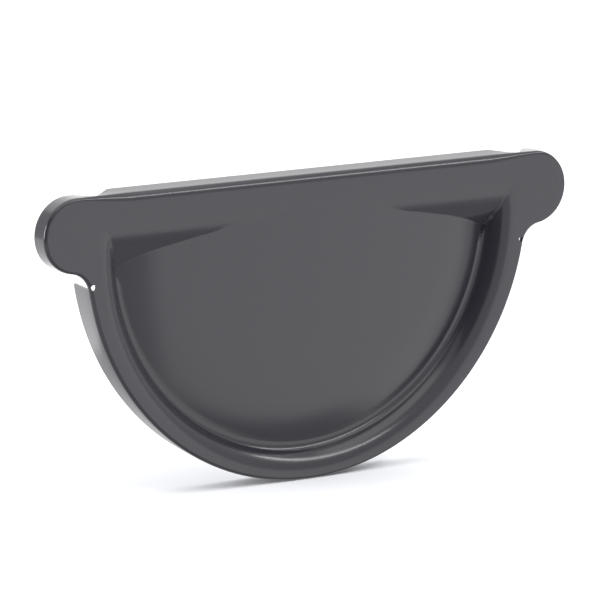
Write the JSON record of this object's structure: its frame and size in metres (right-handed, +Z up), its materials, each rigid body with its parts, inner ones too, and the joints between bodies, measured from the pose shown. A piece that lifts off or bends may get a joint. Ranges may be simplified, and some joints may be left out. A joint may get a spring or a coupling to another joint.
{
  "type": "gutter end cap",
  "caption": "Pressed sheet end cap for a half-round roof gutter: flat top band with rounded ears, dished panel and a round flange that wraps the gutter.",
  "frame": {"origin": "on the gutter's axis, which is the centre of the round flange, in the plane where the gutter's end seats", "axes": "+X across the gutter, +Y along the gutter from the cap into the gutter, +Z up"},
  "size_m": [0.152, 0.009, 0.0764],
  "materials": {
    "painted_sheet": "satin anthracite grey paint, both sides"
  },
  "bodies": {
    "root": {"end_cap": "painted_sheet"}
  },
  "joints": []
}
